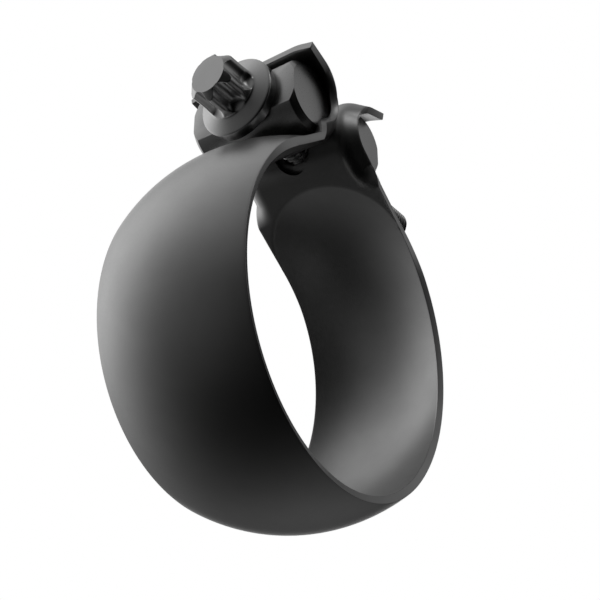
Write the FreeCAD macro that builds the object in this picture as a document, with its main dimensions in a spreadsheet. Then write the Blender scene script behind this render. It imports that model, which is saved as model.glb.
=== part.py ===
import FreeCAD, Part
import math
import os
import Sketcher
from FreeCAD import Placement, Rotation, Vector

# Spherical exhaust band clamp, in millimetres.
# The origin is the centre of the ball seat, Y is the pipe axis, the bolt lies
# along X with its head at -X, and the two ears stand up along +Z.

os.makedirs("parts", exist_ok=True)
doc = FreeCAD.newDocument("band_clamp")

# Driving dimensions, then the sizes that follow from them
sheet = doc.addObject("Spreadsheet::Sheet", "Dimensions")
DIMENSIONS = [
    ("seat_radius", "37.0", "ball seat inside the band"),
    ("sheet_metal", "1.6", "sheet thickness"),
    ("band_width", "32.4", "along the pipe"),
    ("neck_angle", "36.5", "where each neck leaves the ring, from +Z"),
    ("bar_offset", "10.3", "bar axis from the middle plane of the gap"),
    ("bar_radius", "7.75", "trunnion bar"),
    ("bar_length", "26.2", "trunnion bar"),
    ("bar_chamfer", "1.2", "turned ends of the bar"),
    ("bar_flat", "6.2", "flat that faces away from the gap, from the bar axis"),
    ("bar_bore", "9.0", "clearance hole of the bar under the head"),
    ("pocket_gap", "0.4", "between a bar and the pocket of its ear"),
    ("curl_angle", "48.0", "margins of the pocket, curled in over the bar"),
    ("curl_width", "2.6", "bend of a margin, along the sheet"),
    ("fold_width", "24.2", "between the folds of the pocket"),
    ("curl_start", "11.4", "up the neck to where the margins lift"),
    ("curl_rise", "4.6", "length of neck in which the margins lift"),
    ("lip_angle", "8.5", "rise of the lip over the bar"),
    ("lip_length", "5.5", "lip beyond the pocket"),
    ("lip_curl", "17.0", "margins at the tip of the lip"),
    ("slot_width", "9.2", "bolt slot through the ears"),
    ("slot_height", "14.0", "bolt slot through the ears"),
    ("bolt_diameter", "8.0", "over the thread"),
    ("bolt_length", "65.0", "under the flange"),
    ("tip_chamfer", "1.0", "end of the thread"),
    ("thread_gap", "0.05", "between bolt and nut bar, on the radius"),
    ("flange_radius", "8.9", "bearing flange of the bolt"),
    ("flange_edge", "2.2", "thickness of the flange at its rim"),
    ("flange_rise", "1.4", "cone between the flange rim and the head"),
    ("head_height", "10.9", "bearing face to the end of the head"),
    ("lobe_radius", "5.65", "over the six lobes"),
    ("lobe_round", "0.7", "corner of each lobe"),
    ("valley_radius", "2.1", "hollow between two lobes"),
    ("valley_depth", "1.65", "hollow below the lobes"),
    ("face_radius", "3.9", "flat end of the head"),
    ("face_chamfer", "1.3", "length of the cone at the end of the head"),
    ("rim_radius", "=sqrt(seat_radius ^ 2 - (band_width / 2) ^ 2)", "seat at the rim"),
    ("pocket_outer", "=bar_radius + pocket_gap + sheet_metal", "outside of the pocket"),
    ("bar_height",
     "=(rim_radius + pocket_outer - bar_offset * sin(neck_angle * 1 deg)) / cos(neck_angle * 1 deg)",
     "bar axis above the ball centre"),
]
for row, (name, content, note) in enumerate(DIMENSIONS, start=1):
    sheet.set("A%d" % row, name)
    sheet.set("B%d" % row, content)
    sheet.set("C%d" % row, note)
    sheet.setAlias("B%d" % row, name)
doc.recompute()


def size(name):
    return float(getattr(sheet, name))


def bind(feature, **expressions):
    for prop, text in expressions.items():
        feature.setExpression(prop, text)


def origin_plane(body, role):
    return next(item for item in body.Origin.OriginFeatures if item.Role == role)


def new_body(name):
    body = doc.addObject("PartDesign::Body", name)
    body.Label = name
    return body


def new_sketch(body, name, role):
    sketch = body.newObject("Sketcher::SketchObject", name)
    sketch.AttachmentSupport = (origin_plane(body, role), [""])
    sketch.MapMode = "FlatFace"
    doc.recompute()
    return sketch


# Ears of the band
SHEET = size("sheet_metal")
HALF_WIDTH = size("band_width") / 2
RIM = size("rim_radius")
POCKET = size("pocket_outer")
NECK = math.radians(size("neck_angle"))
CURL = size("curl_angle")
ACROSS = Vector(0, 1, 0)

# OUTWARD points through the right neck away from the ring, ALONG points up it
OUTWARD = Vector(math.sin(NECK), 0, math.cos(NECK))
ALONG = Vector(-math.cos(NECK), 0, math.sin(NECK))
AXIS = Vector(size("bar_offset"), 0, size("bar_height"))
NECK_END = AXIS.dot(ALONG)
POCKET_SWEEP = 180 - size("neck_angle") - size("lip_angle")


def channel(origin, inward, fold, curl):
    """Section across the ear, a strip of sheet with both margins curled in.

    origin lies on the side away from the bar, and inward points to the bar.
    """
    bend = size("curl_width")
    start = fold - bend / 2
    margin = HALF_WIDTH - start - bend
    angle = math.radians(curl)

    def half(depth, side):
        points = []
        for part in (0, 0.5, 1):
            reach = start + bend * part
            rise = depth
            if curl:
                centre = bend / angle + SHEET / 2
                reach = start + (centre - depth) * math.sin(angle * part)
                rise = centre - (centre - depth) * math.cos(angle * part)
            points.append(origin + ACROSS * (side * reach) + inward * rise)
        run = ACROSS * (side * math.cos(angle)) + inward * math.sin(angle)
        points.append(points[2] + run * margin)
        return points

    def line(first, last):
        return Part.LineSegment(first, last).toShape()

    def bent(first, middle, last):
        return Part.Arc(first, middle, last).toShape() if curl else line(first, last)

    def strip(left, right):
        return [
            line(left[3], left[2]), bent(left[2], left[1], left[0]), line(left[0], right[0]),
            bent(right[0], right[1], right[2]), line(right[2], right[3])]

    left, right = half(0, -1), half(0, 1)
    near, far = half(SHEET, 1), half(SHEET, -1)
    edges = strip(left, right) + [line(right[3], near[3])]
    edges += strip(near, far) + [line(far[3], left[3])]
    return Part.Wire(edges)


def neck_section(run):
    """Section of the neck, where the folds sweep in along a quarter ellipse."""
    fold = size("fold_width") / 2
    part = (NECK_END - run) / (NECK_END - size("curl_start"))
    widest = HALF_WIDTH - size("curl_width") - fold
    fold = fold + widest * (1 - math.sqrt(max(0.0, 1 - part * part)))
    lift = min(1.0, (run - size("curl_start")) / size("curl_rise"))
    return channel(OUTWARD * RIM + ALONG * run, OUTWARD, fold, CURL * lift)


def pocket_section(turn, curl, beyond=0.0):
    """Section of the pocket, turned round the bar from the end of the neck."""
    turned = Rotation(ACROSS, turn)
    outward = turned.multVec(-OUTWARD)
    origin = AXIS + outward * POCKET + turned.multVec(ALONG) * beyond
    return channel(origin, -outward, size("fold_width") / 2, curl)


def loft(sections, ruled):
    return Part.makeLoft(sections, True, ruled)


def make_ear():
    """Right ear, from the tangent line of the neck to the tip of the lip."""
    start = size("curl_start")
    corners = [OUTWARD * RIM, OUTWARD * RIM + ALONG * start]
    corners += [point + OUTWARD * SHEET for point in reversed(corners)]
    flat = Part.Face(Part.makePolygon(corners + corners[:1]))
    flat.translate(ACROSS * -HALF_WIDTH)
    pieces = [flat.extrude(ACROSS * (2 * HALF_WIDTH))]
    lifted = start + size("curl_rise")
    pieces.append(loft([neck_section(start), neck_section(lifted)], True))
    runs = [lifted + (NECK_END - lifted) * k / 4 for k in range(5)]
    pieces.append(loft([neck_section(run) for run in runs], False))

    even = POCKET_SWEEP * 0.55
    pieces.append(Part.Face(pocket_section(0, CURL)).revolve(AXIS, ACROSS, even))
    arc = math.radians(POCKET_SWEEP - even) * POCKET
    fall = (CURL - size("lip_curl")) / (arc + size("lip_length"))
    crest = []
    for k in range(5):
        turn = even + (POCKET_SWEEP - even) * k / 4
        crest.append(pocket_section(turn, CURL - fall * arc * k / 4))
    pieces.append(loft(crest, False))
    tip = pocket_section(POCKET_SWEEP, size("lip_curl"), size("lip_length"))
    pieces.append(loft([crest[-1], tip], True))
    return pieces[0].multiFuse(pieces[1:]).removeSplitter()


def held(name, shape):
    feature = doc.addObject("Part::Feature", name)
    feature.Shape = shape
    return feature


# Band, one sheet with the ball seat and both ears
POLES = Rotation(Vector(0, 0, -1), Vector(-1, 0, 0), Vector(0, 1, 0), "ZXY")
ball = doc.addObject("Part::Sphere", "Ball")
bind(ball, Radius="Dimensions.seat_radius + Dimensions.sheet_metal")
seat = doc.addObject("Part::Sphere", "Seat")
bind(seat, Radius="Dimensions.seat_radius")
for solid in (ball, seat):
    solid.Placement = Placement(Vector(0, 0, 0), POLES)
width = doc.addObject("Part::Box", "Width")
bind(width, Length="4 * Dimensions.seat_radius", Width="Dimensions.band_width", Height="4 * Dimensions.seat_radius")
bind(width, **{
    "Placement.Base.x": "-2 * Dimensions.seat_radius",
    "Placement.Base.y": "-Dimensions.band_width / 2",
    "Placement.Base.z": "-2 * Dimensions.seat_radius"})

# The gap lies between the necks, and reaches round the end of the dish in each of them,
# where the ball has sunk into the sheet
tangent = OUTWARD * RIM
sunk = tangent + ALONG * (NECK_END - SHEET)
clear = sunk + OUTWARD * (2 * SHEET)
corners = [tangent, sunk, clear]
mirrored = [Vector(-point.x, 0, point.z) for point in reversed(corners)]
outline = [Vector(0, 0, 0)] + corners + [Vector(0, 0, AXIS.z)] + mirrored + [Vector(0, 0, 0)]
opening = Part.Face(Part.makePolygon(outline))
opening.translate(ACROSS * -HALF_WIDTH)
gap = held("Gap", opening.extrude(ACROSS * (2 * HALF_WIDTH)))

slot_radius = size("slot_width") / 2
slot_rise = size("slot_height") / 2 - slot_radius
slot = Part.makeBox(
    2 * AXIS.x, 2 * slot_radius, 2 * slot_rise, Vector(-AXIS.x, -slot_radius, AXIS.z - slot_rise))
for rise in (-slot_rise, slot_rise):
    end = Part.makeCylinder(slot_radius, 2 * AXIS.x, Vector(-AXIS.x, 0, AXIS.z + rise), Vector(1, 0, 0))
    slot = slot.fuse(end)
slots = held("Slots", slot.removeSplitter())

right_ear = held("RightEar", make_ear())
left_ear = doc.addObject("Part::Mirroring", "LeftEar")
left_ear.Source = right_ear
left_ear.Normal = Vector(1, 0, 0)
ring = doc.addObject("Part::MultiCommon", "Ring")
ring.Shapes = [ball, width]
open_ring = doc.addObject("Part::Cut", "OpenRing")
open_ring.Base = ring
open_ring.Tool = gap
blank = doc.addObject("Part::MultiFuse", "Blank")
blank.Shapes = [open_ring, right_ear, left_ear]
hollow = doc.addObject("Part::Cut", "Hollow")
hollow.Base = blank
hollow.Tool = seat
band = doc.addObject("Part::Cut", "Band")
band.Base = hollow
band.Tool = slots
band.Refine = True
band.Label = "band"
doc.recompute()


def add_circle(sketch, radius, y="0", x="0"):
    index = sketch.addGeometry(Part.Circle(Vector(0, 0, 0), Vector(0, 0, 1), 1), False)
    number = sketch.addConstraint(Sketcher.Constraint("Radius", index, 1))
    sketch.setExpression("Constraints[%d]" % number, radius)
    for kind, text in (("DistanceX", x), ("DistanceY", y)):
        if text == "0":
            continue
        number = sketch.addConstraint(Sketcher.Constraint(kind, -1, 1, index, 3, 1))
        sketch.setExpression("Constraints[%d]" % number, text)
    if x == "0" and y == "0":
        sketch.addConstraint(Sketcher.Constraint("Coincident", index, 3, -1, 1))


def add_outline(sketch, corners, lengths):
    """Closed outline of straight lines; lengths binds corner distances from the origin."""
    points = [Vector(x, y, 0) for x, y in corners]
    for first, last in zip(points, points[1:] + points[:1]):
        sketch.addGeometry(Part.LineSegment(first, last), False)
    count = len(points)
    for index in range(count):
        sketch.addConstraint(Sketcher.Constraint("Coincident", index, 2, (index + 1) % count, 1))
    for index, kind, text in lengths:
        value = points[index].x if kind == "DistanceX" else points[index].y
        number = sketch.addConstraint(Sketcher.Constraint(kind, -1, 1, index, 1, value))
        sketch.setExpression("Constraints[%d]" % number, text)


# Trunnion bars, turned with chamfered ends, then milled flat on one side and drilled
def make_bar(name, side, bore):
    body = new_body(name)
    section = new_sketch(body, name + "_section", "XZ_Plane")
    add_circle(section, "Dimensions.bar_radius")
    pad = body.newObject("PartDesign::Pad", name + "_pad")
    pad.Profile = section
    pad.SideType = "Symmetric"
    bind(pad, Length="Dimensions.bar_length")
    doc.recompute()
    rims = ["Edge%d" % n for n, edge in enumerate(pad.Shape.Edges, start=1) if edge.BoundBox.YLength < 0.01]
    turned_ends = body.newObject("PartDesign::Chamfer", name + "_ends")
    turned_ends.Base = (pad, rims)
    bind(turned_ends, Size="Dimensions.bar_chamfer")
    doc.recompute()

    # The cut for the flat is a block of bar_radius square beyond the flat
    block = new_sketch(body, name + "_block", "XZ_Plane")
    radius = size("bar_radius")
    flat = size("bar_flat")
    corners = [(side * flat, -radius), (side * (flat + radius), -radius), (side * (flat + radius), radius)]
    add_outline(block, corners + [(side * flat, radius)], [
        (0, "DistanceX", "%d * Dimensions.bar_flat" % side), (0, "DistanceY", "-Dimensions.bar_radius"),
        (1, "DistanceX", "%d * (Dimensions.bar_flat + Dimensions.bar_radius)" % side),
        (1, "DistanceY", "-Dimensions.bar_radius"),
        (2, "DistanceX", "%d * (Dimensions.bar_flat + Dimensions.bar_radius)" % side),
        (2, "DistanceY", "Dimensions.bar_radius"),
        (3, "DistanceX", "%d * Dimensions.bar_flat" % side), (3, "DistanceY", "Dimensions.bar_radius")])
    milled = body.newObject("PartDesign::Pocket", name + "_flat")
    milled.Profile = block
    milled.Type = "ThroughAll"
    milled.SideType = "Symmetric"
    doc.recompute()

    hole = new_sketch(body, name + "_hole", "YZ_Plane")
    add_circle(hole, bore)
    drilled = body.newObject("PartDesign::Pocket", name + "_drilled")
    drilled.Profile = hole
    drilled.Type = "ThroughAll"
    drilled.SideType = "Symmetric"
    doc.recompute()
    body.Tip = drilled
    bind(body, **{
        "Placement.Base.x": "%d * Dimensions.bar_offset" % side,
        "Placement.Base.z": "Dimensions.bar_height"})
    return body


head_bar = make_bar("head_trunnion", -1, "Dimensions.bar_bore / 2")
nut_bar = make_bar("nut_trunnion", 1, "Dimensions.bolt_diameter / 2 + Dimensions.thread_gap")

# Flange bolt, with its bearing face at the origin of the body and its tip at +X
bolt = new_body("flange_bolt")
profile = new_sketch(bolt, "bolt_profile", "XZ_Plane")
head_end = -size("head_height")
cone_end = -size("flange_edge") - size("flange_rise")
shank = size("bolt_diameter") / 2
length = size("bolt_length")
chamfer = size("tip_chamfer")
HEAD_END = "-Dimensions.head_height"
CONE_END = "-Dimensions.flange_edge - Dimensions.flange_rise"
SHANK = "Dimensions.bolt_diameter / 2"
add_outline(
    profile,
    [(head_end, 0), (head_end, size("face_radius")), (head_end + size("face_chamfer"), size("lobe_radius")),
     (cone_end, size("lobe_radius")), (-size("flange_edge"), size("flange_radius")),
     (0, size("flange_radius")), (0, shank), (length - chamfer, shank), (length, shank - chamfer), (length, 0)],
    [(0, "DistanceX", HEAD_END),
     (1, "DistanceX", HEAD_END), (1, "DistanceY", "Dimensions.face_radius"),
     (2, "DistanceX", HEAD_END + " + Dimensions.face_chamfer"), (2, "DistanceY", "Dimensions.lobe_radius"),
     (3, "DistanceX", CONE_END), (3, "DistanceY", "Dimensions.lobe_radius"),
     (4, "DistanceX", "-Dimensions.flange_edge"), (4, "DistanceY", "Dimensions.flange_radius"),
     (5, "DistanceY", "Dimensions.flange_radius"), (6, "DistanceY", SHANK),
     (7, "DistanceX", "Dimensions.bolt_length - Dimensions.tip_chamfer"), (7, "DistanceY", SHANK),
     (8, "DistanceX", "Dimensions.bolt_length"), (8, "DistanceY", SHANK + " - Dimensions.tip_chamfer"),
     (9, "DistanceX", "Dimensions.bolt_length")])
for corner in (0, 9):
    profile.addConstraint(Sketcher.Constraint("PointOnObject", corner, 1, -1))
for corner in (5, 6):
    profile.addConstraint(Sketcher.Constraint("PointOnObject", corner, 1, -2))
turned = bolt.newObject("PartDesign::Revolution", "bolt_turned")
turned.Profile = profile
turned.ReferenceAxis = (profile, ["H_Axis"])
turned.Angle = 360
doc.recompute()

# Six hollows between the lobes of the head, the first one facing +Y
hollow_line = new_sketch(bolt, "bolt_hollow", "YZ_Plane")
hollow_line.setExpression("AttachmentOffset.Base.z", CONE_END)
add_circle(
    hollow_line, "Dimensions.valley_radius",
    x="Dimensions.lobe_radius - Dimensions.valley_depth + Dimensions.valley_radius")
doc.recompute()
valley = bolt.newObject("PartDesign::Pocket", "bolt_valley")
valley.Profile = hollow_line
valley.Type = "ThroughAll"
doc.recompute()
if valley.Shape.Volume > turned.Shape.Volume - 1:
    raise RuntimeError("the hollow missed the head")
around = bolt.newObject("PartDesign::PolarPattern", "bolt_valleys")
around.Originals = [valley]
around.Axis = (profile, ["H_Axis"])
around.Angle = 360
around.Occurrences = 6
bolt.Tip = around
doc.recompute()
reach = size("lobe_radius")
corners = []
for number, edge in enumerate(around.Shape.Edges, start=1):
    box = edge.BoundBox
    off_axis = math.hypot(box.Center.y, box.Center.z)
    if max(box.YLength, box.ZLength) < 0.01 < box.XLength and abs(off_axis - reach) < 0.05:
        corners.append("Edge%d" % number)
lobes = bolt.newObject("PartDesign::Fillet", "bolt_lobes")
lobes.Base = (around, corners)
bind(lobes, Radius="Dimensions.lobe_round")
bolt.Tip = lobes
bind(bolt, **{
    "Placement.Base.x": "-Dimensions.bar_offset - Dimensions.bar_flat",
    "Placement.Base.z": "Dimensions.bar_height"})
doc.recompute()
print("lobe corners", len(corners))

# Checks, then one STEP file for each piece
for item in doc.Objects:
    if "Invalid" in item.State or "Error" in item.State:
        raise RuntimeError("%s did not recompute: %s" % (item.Name, item.State))
for item in (band, head_bar, nut_bar, bolt):
    shape = item.Shape
    if shape.isNull() or not shape.isValid() or len(shape.Solids) != 1:
        raise RuntimeError("%s is not one sound solid" % item.Label)
    print(item.Label, round(shape.Volume, 1), shape.BoundBox)
    shape.exportStep("parts/%s.step" % item.Label)
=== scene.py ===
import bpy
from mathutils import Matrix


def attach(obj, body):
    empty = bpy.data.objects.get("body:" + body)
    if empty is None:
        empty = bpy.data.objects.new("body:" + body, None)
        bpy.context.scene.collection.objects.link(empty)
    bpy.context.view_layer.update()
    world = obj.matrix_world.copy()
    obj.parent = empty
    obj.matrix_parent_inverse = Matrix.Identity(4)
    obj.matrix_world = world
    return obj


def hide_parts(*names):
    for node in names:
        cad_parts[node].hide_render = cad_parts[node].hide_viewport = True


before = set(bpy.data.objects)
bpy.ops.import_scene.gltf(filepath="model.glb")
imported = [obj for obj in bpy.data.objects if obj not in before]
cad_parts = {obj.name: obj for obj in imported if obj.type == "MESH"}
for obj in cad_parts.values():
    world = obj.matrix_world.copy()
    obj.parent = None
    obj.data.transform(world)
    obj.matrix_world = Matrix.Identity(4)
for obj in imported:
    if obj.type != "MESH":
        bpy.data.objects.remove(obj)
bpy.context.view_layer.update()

import math

import bmesh
import bpy
from mathutils import Matrix, Vector


# Pressed band
# One piece of steel sheet: the ball seat, the flat necks that leave it on a tangent, and
# the ears, whose pockets wrap round the bars with their margins curled in over the ends.
# It is pressed from a flat blank, then dipped in a grey zinc flake coat.
MM = 0.001
SHEET = 1.6
SEAT_RADIUS = 37.0
HALF_WIDTH = 16.2
NECK_ANGLE = math.radians(36.5)
BAR_OFFSET = 10.3
BAR_RADIUS = 7.75
POCKET_GAP = 0.4
POCKET = BAR_RADIUS + POCKET_GAP + SHEET
RIM = math.sqrt(SEAT_RADIUS ** 2 - HALF_WIDTH ** 2)
BAR_HEIGHT = (RIM + POCKET - BAR_OFFSET * math.sin(NECK_ANGLE)) / math.cos(NECK_ANGLE)
CURL = math.radians(48.0)
CURL_BEND = 2.6
FOLD = 12.1
CURL_START = 11.4
CURL_RISE = 4.6
LIP_ANGLE = math.radians(8.5)
LIP_LENGTH = 5.5
LIP_CURL = math.radians(17.0)
EDGE_ROUND = 0.12
CREASE_ROUND = 0.12
# The rim of the seat is square to the sheet. Over RIM_BLEND before the neck it turns
# square to the pipe, about a line that lies RIM_SHARE of the way through the sheet.
RIM_BLEND = 12.0
RIM_SHARE = 0.36

OUTWARD = Vector((math.sin(NECK_ANGLE), 0, math.cos(NECK_ANGLE)))
ALONG = Vector((-math.cos(NECK_ANGLE), 0, math.sin(NECK_ANGLE)))
ACROSS = Vector((0, 1, 0))
BAR_CENTRE = Vector((BAR_OFFSET, 0, BAR_HEIGHT))
NECK_END = BAR_CENTRE.dot(ALONG)
POCKET_SWEEP = math.pi - NECK_ANGLE - LIP_ANGLE
RING_SWEEP = math.pi - NECK_ANGLE
# Share of the pocket's arc over which the margins keep their full curl
EVEN_CURL = 0.55
# Below this curl, in radians, a margin counts as flat
NO_CURL = 0.001


def bulge(radius, flat, run, y):
    """Depth of the ball surface or of the flat neck, whichever stands further out."""
    inside = radius ** 2 - y ** 2 - run ** 2
    ball = math.sqrt(inside) if inside > 0 else 0.0
    gap = ball - flat
    return 0.5 * (ball + flat + math.sqrt(gap * gap + CREASE_ROUND ** 2)) - flat


def curled(w, depth, fold, curl):
    """Place across and towards the bar of a point of the sheet, with its margin curled."""
    side = -1 if w < 0 else 1
    start = fold - CURL_BEND / 2
    run = abs(w) - start
    if curl < NO_CURL or run <= 0:
        return w, depth
    centre = CURL_BEND / curl + SHEET / 2
    angle = curl * min(1.0, run / CURL_BEND)
    beyond = max(0.0, run - CURL_BEND)
    reach = start + (centre - depth) * math.sin(angle) + beyond * math.cos(angle)
    rise = centre - (centre - depth) * math.cos(angle) + beyond * math.sin(angle)
    return side * reach, rise


def sheet_point(s, w, depth):
    """Point of the right half of the sheet, s along it from the tangent line of the neck.

    depth is 0 on the seat side and SHEET on the other.
    """
    if s <= 0:
        turn = NECK_ANGLE - s / SEAT_RADIUS
        lean = min(1.0, -s / RIM_BLEND)
        y = w * (1 + lean * (depth - RIM_SHARE * SHEET) / SEAT_RADIUS)
        reach = math.sqrt((SEAT_RADIUS + depth) ** 2 - y ** 2)
        return Vector((reach * math.sin(turn), y, reach * math.cos(turn)))
    if s <= NECK_END:
        part = min(1.0, (NECK_END - s) / (NECK_END - CURL_START))
        fold = FOLD + (HALF_WIDTH - CURL_BEND - FOLD) * (1 - math.sqrt(1 - part * part))
        curl = CURL * min(1.0, max(0.0, (s - CURL_START) / CURL_RISE))
        y, rise = curled(w, depth, fold, curl)
        crown = s <= CURL_START or abs(w) <= fold - CURL_BEND / 2
        lift = bulge(SEAT_RADIUS + depth, RIM + depth, s, w) if crown else 0.0
        return OUTWARD * (RIM + rise + lift) + ALONG * s + ACROSS * y
    arc = POCKET_SWEEP * POCKET
    turn = min(1.0, (s - NECK_END) / arc) * POCKET_SWEEP
    beyond = max(0.0, s - NECK_END - arc)
    even = EVEN_CURL * arc
    fall = (s - NECK_END - even) / (arc - even + LIP_LENGTH)
    curl = CURL + (LIP_CURL - CURL) * min(1.0, max(0.0, fall))
    y, rise = curled(w, depth, FOLD, curl)
    turned = Matrix.Rotation(turn, 3, ACROSS)
    outward = turned @ -OUTWARD
    return BAR_CENTRE + outward * (POCKET - rise) + turned @ ALONG * beyond + ACROSS * y


def spread(first, last, step):
    count = max(1, round((last - first) / step))
    return [first + (last - first) * k / count for k in range(count)]


def mesh_object(name, points, faces):
    """Closed mesh from points in millimetres, with its faces turned outwards."""
    form = bmesh.new()
    corners = [form.verts.new(p * MM) for p in points]
    for face in faces:
        form.faces.new([corners[k] for k in face])
    bmesh.ops.recalc_face_normals(form, faces=form.faces)
    mesh = bpy.data.meshes.new(name)
    form.to_mesh(mesh)
    form.free()
    piece = bpy.data.objects.new(name, mesh)
    bpy.context.scene.collection.objects.link(piece)
    return piece


def smooth(piece, degrees):
    mesh = piece.data
    mesh.polygons.foreach_set("use_smooth", [True] * len(mesh.polygons))
    mesh.set_sharp_from_angle(angle=math.radians(degrees))


def settle(piece, modifiers):
    """Applies modifiers to a piece, so that its mesh is final."""
    for kind, settings in modifiers:
        modifier = piece.modifiers.new(kind.lower(), kind)
        for key, value in settings.items():
            setattr(modifier, key, value)
    depsgraph = bpy.context.evaluated_depsgraph_get()
    final = bpy.data.meshes.new_from_object(piece.evaluated_get(depsgraph))
    piece.modifiers.clear()
    piece.data = final


# Mesh steps in millimetres: across the sheet, and along the ring, the dish, the place
# where the curl rises, the rest of the neck, and the pocket
MARGIN = 10.0
FINE = 0.42
MIDDLE = 0.5
RING_STEP = 1.3
DISH_STEP = 0.3
RISE_STEP = 0.33
NECK_STEP = 0.45
POCKET_STEP = 0.5
# A rounded corner's middle point lies this share of its radius from both faces
ARC_MIDDLE = 0.3


def sheet_loop(s, inset):
    """Closed line round the cross-section of the sheet, its corners slightly rounded."""
    r = EDGE_ROUND
    w = HALF_WIDTH
    end = w - r
    face = spread(-end, -MARGIN, FINE) + spread(-MARGIN, MARGIN, MIDDLE) + spread(MARGIN, end, FINE)
    face.append(end)
    arc = ARC_MIDDLE * r
    corner = [(w - arc, arc), (w, r), (w, SHEET - r), (w - arc, SHEET - arc)]
    line = [(y, 0.0) for y in face] + corner
    line += [(-y, SHEET) for y in face] + [(-y, SHEET - d) for y, d in corner]
    middle = SHEET / 2
    shrink = 1 - 2 * inset / SHEET
    return [sheet_point(s, y, middle + (d - middle) * shrink) for y, d in line]


ring = RING_SWEEP * SEAT_RADIUS
full_curl = CURL_START + CURL_RISE
tip = NECK_END + POCKET_SWEEP * POCKET + LIP_LENGTH
stations = [-ring + k for k in spread(0, ring, RING_STEP)]
stations += spread(0, CURL_START, DISH_STEP)
stations += spread(CURL_START, full_curl, RISE_STEP)
stations += spread(full_curl, NECK_END, NECK_STEP)
stations += spread(NECK_END, tip - EDGE_ROUND, POCKET_STEP)
loops = [sheet_loop(s, 0.0) for s in stations + [tip - EDGE_ROUND]]
loops.append(sheet_loop(tip - ARC_MIDDLE * EDGE_ROUND, ARC_MIDDLE * EDGE_ROUND))
loops.append(sheet_loop(tip, EDGE_ROUND))
other = [[Vector((-p.x, p.y, p.z)) for p in loop] for loop in loops[1:]]
loops = list(reversed(other)) + loops
around = len(loops[0])
points = [p for loop in loops for p in loop]
faces = []
for i in range(len(loops) - 1):
    for j in range(around):
        k = (j + 1) % around
        faces.append((i * around + j, i * around + k, (i + 1) * around + k, (i + 1) * around + j))
faces.append(tuple(reversed(range(around))))
faces.append(tuple(range((len(loops) - 1) * around, len(loops) * around)))
band = mesh_object("pressed_band", points, faces)

# The slot is cut through both ears along the bolt
SLOT_RADIUS = 4.6
SLOT_RISE = 2.4
SLOT_SEGMENTS = 48
rim = []
for k in range(SLOT_SEGMENTS):
    angle = 2 * math.pi * k / SLOT_SEGMENTS
    rise = SLOT_RISE if math.sin(angle) > 0 else -SLOT_RISE
    rim.append((SLOT_RADIUS * math.cos(angle), BAR_HEIGHT + rise + SLOT_RADIUS * math.sin(angle)))
count = len(rim)
points = [Vector((x, y, z)) for x in (-BAR_OFFSET, BAR_OFFSET) for y, z in rim]
faces = [(j, (j + 1) % count, count + (j + 1) % count, count + j) for j in range(count)]
faces += [tuple(reversed(range(count))), tuple(range(count, 2 * count))]
cutter = mesh_object("slot_cutter", points, faces)
settle(band, [("BOOLEAN", {"operation": "DIFFERENCE", "solver": "EXACT", "object": cutter})])
bpy.data.objects.remove(cutter)
BAND_SHARP = 32
smooth(band, BAND_SHARP)
settle(band, [("WEIGHTED_NORMAL", {"keep_sharp": True})])


def linear(code):
    """An sRGB hex colour as the linear colour that a shader takes."""
    def channel(value):
        value /= 255
        return value / 12.92 if value <= 0.04045 else ((value + 0.055) / 1.055) ** 2.4
    return tuple(channel(int(code[i:i + 2], 16)) for i in (0, 2, 4)) + (1.0,)


def add_node(tree, kind, settings=None, links=None):
    """Adds a node. settings are its properties and socket values, links its inputs."""
    node = tree.nodes.new(kind)
    for key, value in (settings or {}).items():
        if isinstance(key, str) and hasattr(node, key):
            setattr(node, key, value)
        else:
            node.inputs[key].default_value = value
    for key, source in (links or {}).items():
        tree.links.new(source, node.inputs[key])
    return node


CLOUD_MM = 14.0
GLOSS_RANGE = 0.03
# Most of a noise texture's values lie in this range
NOISE_RANGE = {"From Min": 0.3, "From Max": 0.7}


def coated_steel(name, dark, light, roughness, grain_mm, bump_mm):
    """Zinc flake coat on steel.

    It gives a satin, neutral grey metal whose gloss wanders softly from place to place.
    The real flakes are far finer than a pixel, so the grain is drawn coarser than they are.
    """
    material = bpy.data.materials.new(name)
    material.use_nodes = True
    tree = material.node_tree
    tree.nodes.clear()
    place = add_node(tree, "ShaderNodeTexCoord")
    cloud = add_node(tree, "ShaderNodeTexNoise",
                     {"Scale": 1 / (CLOUD_MM * MM), "Detail": 3.0, "Roughness": 0.55},
                     {"Vector": place.outputs["Object"]})
    grain = add_node(tree, "ShaderNodeTexNoise", {"Scale": 1 / (grain_mm * MM), "Detail": 2.0},
                     {"Vector": place.outputs["Object"]})
    tone = add_node(tree, "ShaderNodeMapRange", NOISE_RANGE, {"Value": cloud.outputs["Fac"]})
    colour = add_node(tree, "ShaderNodeMix",
                      {"data_type": "RGBA", 6: linear(dark), 7: linear(light)},
                      {0: tone.outputs["Result"]})
    gloss_range = {"To Min": roughness - GLOSS_RANGE, "To Max": roughness + GLOSS_RANGE}
    gloss = add_node(tree, "ShaderNodeMapRange", {**NOISE_RANGE, **gloss_range},
                     {"Value": grain.outputs["Fac"]})
    bump = add_node(tree, "ShaderNodeBump", {"Strength": 0.35, "Distance": bump_mm * MM},
                    {"Height": grain.outputs["Fac"]})
    surface = add_node(tree, "ShaderNodeBsdfPrincipled", {"Metallic": 1.0},
                       {"Base Color": colour.outputs[2], "Roughness": gloss.outputs["Result"],
                        "Normal": bump.outputs["Normal"]})
    add_node(tree, "ShaderNodeOutputMaterial", None, {"Surface": surface.outputs["BSDF"]})
    return material


# The sheet is the roughest, which spreads the lights into broad soft bands
sheet_coat = coated_steel("zinc_flake_coated_sheet", "909090", "9a9a9a",
                          roughness=0.33, grain_mm=0.35, bump_mm=0.01)
band.data.materials.clear()
band.data.materials.append(sheet_coat)
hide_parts("band")
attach(band, "clamp")


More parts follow.
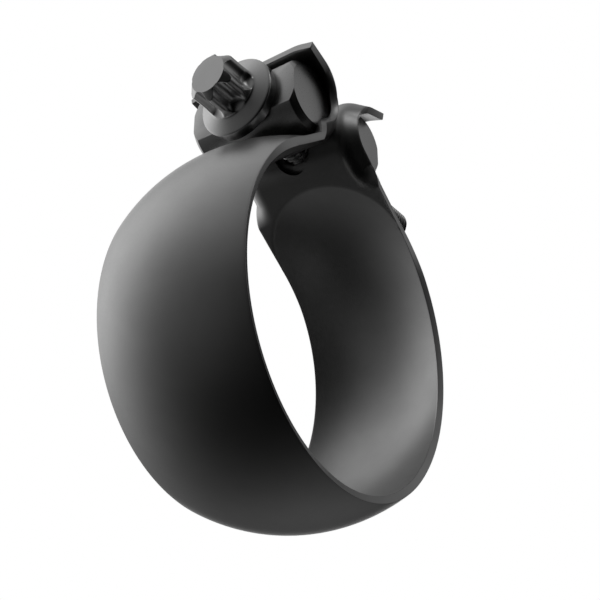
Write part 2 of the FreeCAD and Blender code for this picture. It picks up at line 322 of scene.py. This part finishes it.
# Trunnion bars
# Short round steel bars that lie in the pockets of the ears. Each is turned with
# chamfered ends, milled flat on the side away from the gap, and drilled across.
BAR_LENGTH = 26.2
BAR_FLAT = 6.2
BAR_CHAMFER = 1.2
BAR_SEGMENTS = 160
DRILL_SEGMENTS = 64
BAR_SHARP = 25
BEVEL_ANGLE = 30
CORNER = 0.12
# The end face starts this far inside its edge, so that the edge can be rounded
END_STEP = 0.2
# The cutters reach past the bar by a safe amount
PAST = 12


def turned(name, profile, segments):
    """Solid turned round X. profile is a list of (x, radius)."""
    points = []
    for x, radius in profile:
        for k in range(segments):
            angle = 2 * math.pi * k / segments
            points.append(Vector((x, radius * math.cos(angle), radius * math.sin(angle))))
    faces = []
    for i in range(len(profile) - 1):
        for j in range(segments):
            k = (j + 1) % segments
            a, b = i * segments, (i + 1) * segments
            faces.append((a + j, b + j, b + k, a + k))
    last = (len(profile) - 1) * segments
    faces.append(tuple(range(segments)))
    faces.append(tuple(reversed(range(last, last + segments))))
    return mesh_object(name, points, faces)


def rounded(corners, radius, steps=3, most=0.4):
    """Profile whose inner corners are rounded off, by most of each side at the most."""
    line = [corners[0]]
    for before, here, after in zip(corners, corners[1:], corners[2:]):
        here, before, after = Vector(here), Vector(before), Vector(after)
        reach = min(radius, (before - here).length * most, (after - here).length * most)
        first = here + (before - here).normalized() * reach
        last = here + (after - here).normalized() * reach
        for k in range(steps + 1):
            t = k / steps
            line.append(tuple(first * (1 - t) ** 2 + here * 2 * t * (1 - t) + last * t * t))
    line.append(corners[-1])
    return line


def place(piece, matrix):
    piece.data.transform(matrix)
    piece.data.update()


# Turned steel is smoother under the same coat. Its colour is painted a step lighter than the
# sheet's, as painted light that brightens the flats and end faces
bar_coat_painted_lighter = coated_steel("zinc_flake_coated_bar", "9a9a9a", "a4a4a4",
                        roughness=0.30, grain_mm=0.3, bump_mm=0.008)
BARS = [
    # node, body, side of the clamp, radius of the cross hole
    ("head_trunnion", "clamp", -1, 4.5),
    ("nut_trunnion", "nut", 1, 4.05),
]
for node, body, side, hole in BARS:
    half = BAR_LENGTH / 2
    face = BAR_RADIUS - BAR_CHAMFER
    outline = [(-half, face - END_STEP), (-half, face), (-half + BAR_CHAMFER, BAR_RADIUS)]
    outline += [(-x, r) for x, r in reversed(outline)]
    bar = turned(node + "_bar", rounded(outline, CORNER), BAR_SEGMENTS)
    place(bar, Matrix.Rotation(math.radians(90), 4, "Z"))
    flat = mesh_object("flat_cutter", [
        Vector((side * x, y, z)) for x in (BAR_FLAT, PAST)
        for y in (-BAR_LENGTH, BAR_LENGTH) for z in (-PAST, PAST)],
        [(0, 1, 3, 2), (4, 6, 7, 5), (0, 4, 5, 1), (2, 3, 7, 6), (0, 2, 6, 4), (1, 5, 7, 3)])
    drill = turned("drill", [(-PAST, hole), (PAST, hole)], DRILL_SEGMENTS)
    settle(bar, [("BOOLEAN", {"operation": "DIFFERENCE", "solver": "EXACT", "object": flat}),
                 ("BOOLEAN", {"operation": "DIFFERENCE", "solver": "EXACT", "object": drill}),
                 ("BEVEL", {"width": CORNER * MM, "segments": 2, "limit_method": "ANGLE",
                            "angle_limit": math.radians(BEVEL_ANGLE)})])
    for tool in (flat, drill):
        bpy.data.objects.remove(tool)
    place(bar, Matrix.Translation(Vector((side * BAR_OFFSET, 0, BAR_HEIGHT)) * MM))
    smooth(bar, BAR_SHARP)
    bar.data.materials.clear()
    bar.data.materials.append(bar_coat_painted_lighter)
    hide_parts(node)
    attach(bar, body)


# Flange bolt
# One forged steel bolt: six lobes for the socket, a coned flange that bears on the flat of
# the head bar, and a rolled M8 thread along the whole length, on which the nut bar runs.
SEAT_X = -BAR_OFFSET - BAR_FLAT
HEAD_HEIGHT = 10.9
FLANGE_RADIUS = 8.9
FLANGE_EDGE = 2.2
FLANGE_RISE = 1.4
LOBE_RADIUS = 5.65
VALLEY_DEPTH = 1.65
VALLEY_RADIUS = 2.1
FACE_RADIUS = 4.1
FACE_CHAMFER = 1.3
RUN_OUT = 2.2
BOLT_LENGTH = 65.0
PITCH = 1.25
CREST = 3.95
ROOT = 3.3
FLANGE_FILLET = 0.3


def lobed_radius(angle, reach):
    """Radius of the six lobed outline, with rounded lobes at 30 degrees and every 60 on."""
    hollow = LOBE_RADIUS - VALLEY_DEPTH + VALLEY_RADIUS
    step = math.pi / 6
    cosine = math.cos(step)
    lobe = (hollow ** 2 + LOBE_RADIUS ** 2 - 2 * hollow * cosine * LOBE_RADIUS - VALLEY_RADIUS ** 2)
    lobe /= 2 * (VALLEY_RADIUS + LOBE_RADIUS - hollow * cosine)
    centre = LOBE_RADIUS - lobe
    off = abs((angle + step * 2) % (2 * step) - step)
    lean = Vector((hollow * cosine - centre, hollow * math.sin(step))).normalized() * lobe
    if off < math.atan2(lean.y, centre + lean.x):
        radius = centre * math.cos(off) + math.sqrt(lobe ** 2 - (centre * math.sin(off)) ** 2)
    else:
        turn = step - off
        half_chord = math.sqrt(VALLEY_RADIUS ** 2 - (hollow * math.sin(turn)) ** 2)
        radius = hollow * math.cos(turn) - half_chord
    return min(radius, reach)


def head_radius(x, angle):
    """Radius of the head and the flange at x from the bearing face, towards the head."""
    flange = FLANGE_RADIUS
    if x > FLANGE_EDGE:
        flange = FLANGE_RADIUS - (x - FLANGE_EDGE) / FLANGE_RISE * (FLANGE_RADIUS - LOBE_RADIUS)
    reach = LOBE_RADIUS
    top = HEAD_HEIGHT - x
    if top <= FACE_CHAMFER:
        reach = FACE_RADIUS + (LOBE_RADIUS - FACE_RADIUS) * top / FACE_CHAMFER
    lobes = lobed_radius(angle, reach)
    run = x - FLANGE_EDGE - FLANGE_RISE
    if run < RUN_OUT:
        lift = RUN_OUT - math.sqrt(RUN_OUT ** 2 - (RUN_OUT - max(0.0, run)) ** 2)
        lobes = min(LOBE_RADIUS, lobes + lift)
    if x <= FLANGE_EDGE:
        return flange
    gap = flange - lobes
    return 0.5 * (flange + lobes + math.sqrt(gap * gap + FLANGE_FILLET ** 2))


SEGMENTS = 240
HEAD_SHARP = 28
THREAD_SHARP = 50
# Steps between the levels of the head: up to FINE_REACH past the flange's edge, along the
# lobes, and over the chamfer
FINE_LEVEL = 0.12
FINE_REACH = 3.8
LOBE_LEVEL = 0.5
CHAMFER_LEVEL = 0.1
chamfer_start = HEAD_HEIGHT - FACE_CHAMFER
# Levels from the bearing face up, each with the inset that rounds the flange's edges off
levels = [(0.0, -0.25), (0.0, -0.1), (0.08, 0.0), (0.25, 0.0), (1.0, 0.0), (FLANGE_EDGE - 0.3, 0.0),
          (FLANGE_EDGE - 0.12, -0.02), (FLANGE_EDGE, -0.1)]
levels += [(FLANGE_EDGE + x, 0.0) for x in spread(FINE_LEVEL, FINE_REACH, FINE_LEVEL)]
levels += [(x, 0.0) for x in spread(FLANGE_EDGE + FINE_REACH, chamfer_start, LOBE_LEVEL)]
levels += [(chamfer_start + x, 0.0) for x in spread(0.0, FACE_CHAMFER, CHAMFER_LEVEL)]
levels += [(HEAD_HEIGHT, 0.0)]
points = []
for x, inset in levels:
    for k in range(SEGMENTS):
        angle = 2 * math.pi * k / SEGMENTS
        radius = head_radius(x, angle) + inset
        points.append(Vector((-x, radius * math.cos(angle), radius * math.sin(angle))))
# Rings on the end face, which keep its shading flat
CAP_RINGS = (3.7, 3.0)
for radius in CAP_RINGS:
    for k in range(SEGMENTS):
        angle = 2 * math.pi * k / SEGMENTS
        points.append(Vector((-HEAD_HEIGHT, radius * math.cos(angle), radius * math.sin(angle))))
rows = len(points) // SEGMENTS
faces = []
for i in range(rows - 1):
    for j in range(SEGMENTS):
        k = (j + 1) % SEGMENTS
        a, b = i * SEGMENTS, (i + 1) * SEGMENTS
        faces.append((a + j, b + j, b + k, a + k))
faces.append(tuple(range(SEGMENTS)))
faces.append(tuple(reversed(range((rows - 1) * SEGMENTS, rows * SEGMENTS))))
head = mesh_object("bolt_head", points, faces)

# The thread: flat crests and roots, a run-out under the flange and a coned tip. The
# shares of the crest and the flank are of half a pitch.
THREAD_SEGMENTS = 72
THREAD_STEP = 0.104
CREST_SHARE = 0.16
FLANK_SHARE = 0.66
RUN_START = 0.6
RUN_LENGTH = 1.6
TIP_RADIUS = 3.0
points = []
rows = 0
for x in spread(0.0, BOLT_LENGTH, THREAD_STEP) + [BOLT_LENGTH]:
    rows += 1
    for k in range(THREAD_SEGMENTS):
        angle = 2 * math.pi * k / THREAD_SEGMENTS
        phase = abs(((x - PITCH * k / THREAD_SEGMENTS) / PITCH) % 1.0 - 0.5) * 2
        depth = min(1.0, max(0.0, (phase - CREST_SHARE) / FLANK_SHARE))
        depth = min(depth, max(0.0, (x - RUN_START) / RUN_LENGTH))
        radius = CREST - (CREST - ROOT) * depth
        radius = min(radius, TIP_RADIUS + BOLT_LENGTH - x)
        points.append(Vector((x, radius * math.cos(angle), radius * math.sin(angle))))
faces = []
for i in range(rows - 1):
    for j in range(THREAD_SEGMENTS):
        k = (j + 1) % THREAD_SEGMENTS
        a, b = i * THREAD_SEGMENTS, (i + 1) * THREAD_SEGMENTS
        faces.append((a + j, a + k, b + k, b + j))
faces.append(tuple(reversed(range(THREAD_SEGMENTS))))
faces.append(tuple(range((rows - 1) * THREAD_SEGMENTS, rows * THREAD_SEGMENTS)))
thread = mesh_object("bolt_thread", points, faces)

# The bolt is the smoothest, so that its lobes and its thread catch small highlights. Its colour is
# painted lighter still than the sheet's, as painted light that brightens the head and thread
bolt_coat_painted_lighter = coated_steel("zinc_flake_coated_bolt", "9c9c9c", "a6a6a6",
                         roughness=0.24, grain_mm=0.3, bump_mm=0.006)
for piece, degrees in ((head, HEAD_SHARP), (thread, THREAD_SHARP)):
    place(piece, Matrix.Translation(Vector((SEAT_X, 0, BAR_HEIGHT)) * MM))
    smooth(piece, degrees)
    piece.data.materials.append(bolt_coat_painted_lighter)
    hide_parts("flange_bolt")
    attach(piece, "bolt")


# Studio
# A white backdrop behind the clamp, soft lights round it with the main one beside it, and
# a dark room elsewhere. The pale floor lies below everything that the camera sees.
FLOOR_Z = -0.16
FLOOR_SIZE = 6.0
# The backdrop's azimuth and elevation, and the angles between which it fades out
BACKDROP = (35, 24)
BACKDROP_EDGE = (32, 22)
# Each light is a glow of strength * e ** (sharpness * (cosine of the angle to it - 1))
SOFT_LIGHTS = [
    # azimuth from +X and elevation in degrees, sharpness of the glow, strength
    (95, 20, 7.0, 1.15),
    (125, 53, 6.0, 0.50),
    (0, 82, 10.0, 0.22),
    (105, 72, 9.0, 0.32),
    (15, 39, 15.0, 0.35),
    (250, 48, 50.0, 1.70),
    (185, 44, 10.0, 0.20),
    (165, -5, 8.0, 0.10),
    (310, 28, 10.0, 0.45),
    (100, -12, 7.0, 0.14),
    (20, -42, 5.0, 0.17),
]


def compass(azimuth, elevation):
    """Unit vector towards a place round the clamp, in degrees from +X and up."""
    turn, rise = math.radians(azimuth), math.radians(elevation)
    level = math.cos(rise)
    return Vector((level * math.cos(turn), level * math.sin(turn), math.sin(rise)))


world = bpy.data.worlds.new("studio")
bpy.context.scene.world = world
world.use_nodes = True
tree = world.node_tree
tree.nodes.clear()
way = add_node(tree, "ShaderNodeTexCoord")


def facing(azimuth, elevation):
    """Cosine of the angle between a ray and a place round the clamp."""
    product = add_node(tree, "ShaderNodeVectorMath",
                       {"operation": "DOT_PRODUCT", 1: compass(azimuth, elevation)},
                       {0: way.outputs["Generated"]})
    return product.outputs["Value"]


def arithmetic(operation, first, second):
    settings = {"operation": operation}
    links = {}
    for index, value in enumerate((first, second)):
        kept = links if isinstance(value, bpy.types.NodeSocket) else settings
        kept[index] = value
    return add_node(tree, "ShaderNodeMath", settings, links).outputs["Value"]


glow = 0.0
for azimuth, elevation, sharpness, strength in SOFT_LIGHTS:
    off_centre = arithmetic("SUBTRACT", facing(azimuth, elevation), 1.0)
    fall = arithmetic("MULTIPLY", off_centre, sharpness)
    lobe = arithmetic("MULTIPLY", arithmetic("POWER", math.e, fall), strength)
    glow = arithmetic("ADD", lobe, glow)
room = add_node(tree, "ShaderNodeBackground", {"Color": linear("ffffff")}, {"Strength": glow})
white = add_node(tree, "ShaderNodeBackground", {"Color": linear("ffffff"), "Strength": 1.0})

# The metal mirrors the backdrop where it stands, and the camera sees it on every side
ray = add_node(tree, "ShaderNodeLightPath")
dark_from, white_from = (math.cos(math.radians(angle)) for angle in BACKDROP_EDGE)
edge = add_node(tree, "ShaderNodeMapRange", {"From Min": dark_from, "From Max": white_from},
                {"Value": facing(*BACKDROP)})
mirrored = arithmetic("ADD", ray.outputs["Is Glossy Ray"], ray.outputs["Is Transmission Ray"])
mirrored = arithmetic("MULTIPLY", mirrored, edge.outputs["Result"])
seen = arithmetic("MAXIMUM", ray.outputs["Is Camera Ray"], mirrored)
backdrop = add_node(tree, "ShaderNodeMixShader", None,
                    {0: seen, 1: room.outputs["Background"], 2: white.outputs["Background"]})
add_node(tree, "ShaderNodeOutputWorld", None, {"Surface": backdrop.outputs["Shader"]})

# The floor shows to the camera alone, since the metal in the photograph reflects none
bpy.ops.mesh.primitive_plane_add(size=FLOOR_SIZE, location=(0, 0, FLOOR_Z))
floor = bpy.context.object
floor.name = "studio_floor"
paper = bpy.data.materials.new("pale_paper_floor")
paper.use_nodes = True
tree = paper.node_tree
tree.nodes.clear()
ray = add_node(tree, "ShaderNodeLightPath")
pale = add_node(tree, "ShaderNodeBsdfDiffuse", {"Color": linear("f2f2f2")})
lit = add_node(tree, "ShaderNodeEmission", {"Color": linear("ffffff"), "Strength": 0.55})
paper_look = add_node(tree, "ShaderNodeAddShader", None,
                      {0: pale.outputs["BSDF"], 1: lit.outputs["Emission"]})
absent = add_node(tree, "ShaderNodeBsdfTransparent")
seen = add_node(tree, "ShaderNodeMixShader", None,
                {0: ray.outputs["Is Camera Ray"], 1: absent.outputs["BSDF"],
                 2: paper_look.outputs["Shader"]})
add_node(tree, "ShaderNodeOutputMaterial", None, {"Surface": seen.outputs["Shader"]})
floor.data.materials.append(paper)

camera_data = bpy.data.cameras.new("camera")
camera_data.sensor_width = 36.0
camera_data.lens = 50.157
camera_data.clip_start = 0.01
camera = bpy.data.objects.new("camera", camera_data)
bpy.context.scene.collection.objects.link(camera)
camera.location = Vector((-0.124868, -0.089561, -0.062304))
AIM = Vector((0.74823, 0.51959, 0.41252))
ROLL = math.radians(-0.25)
level_view = AIM.to_track_quat("-Z", "Y").to_matrix()
camera.rotation_euler = (level_view @ Matrix.Rotation(ROLL, 3, "Z")).to_euler()
bpy.context.scene.camera = camera
bpy.context.scene.view_settings.view_transform = "Standard"
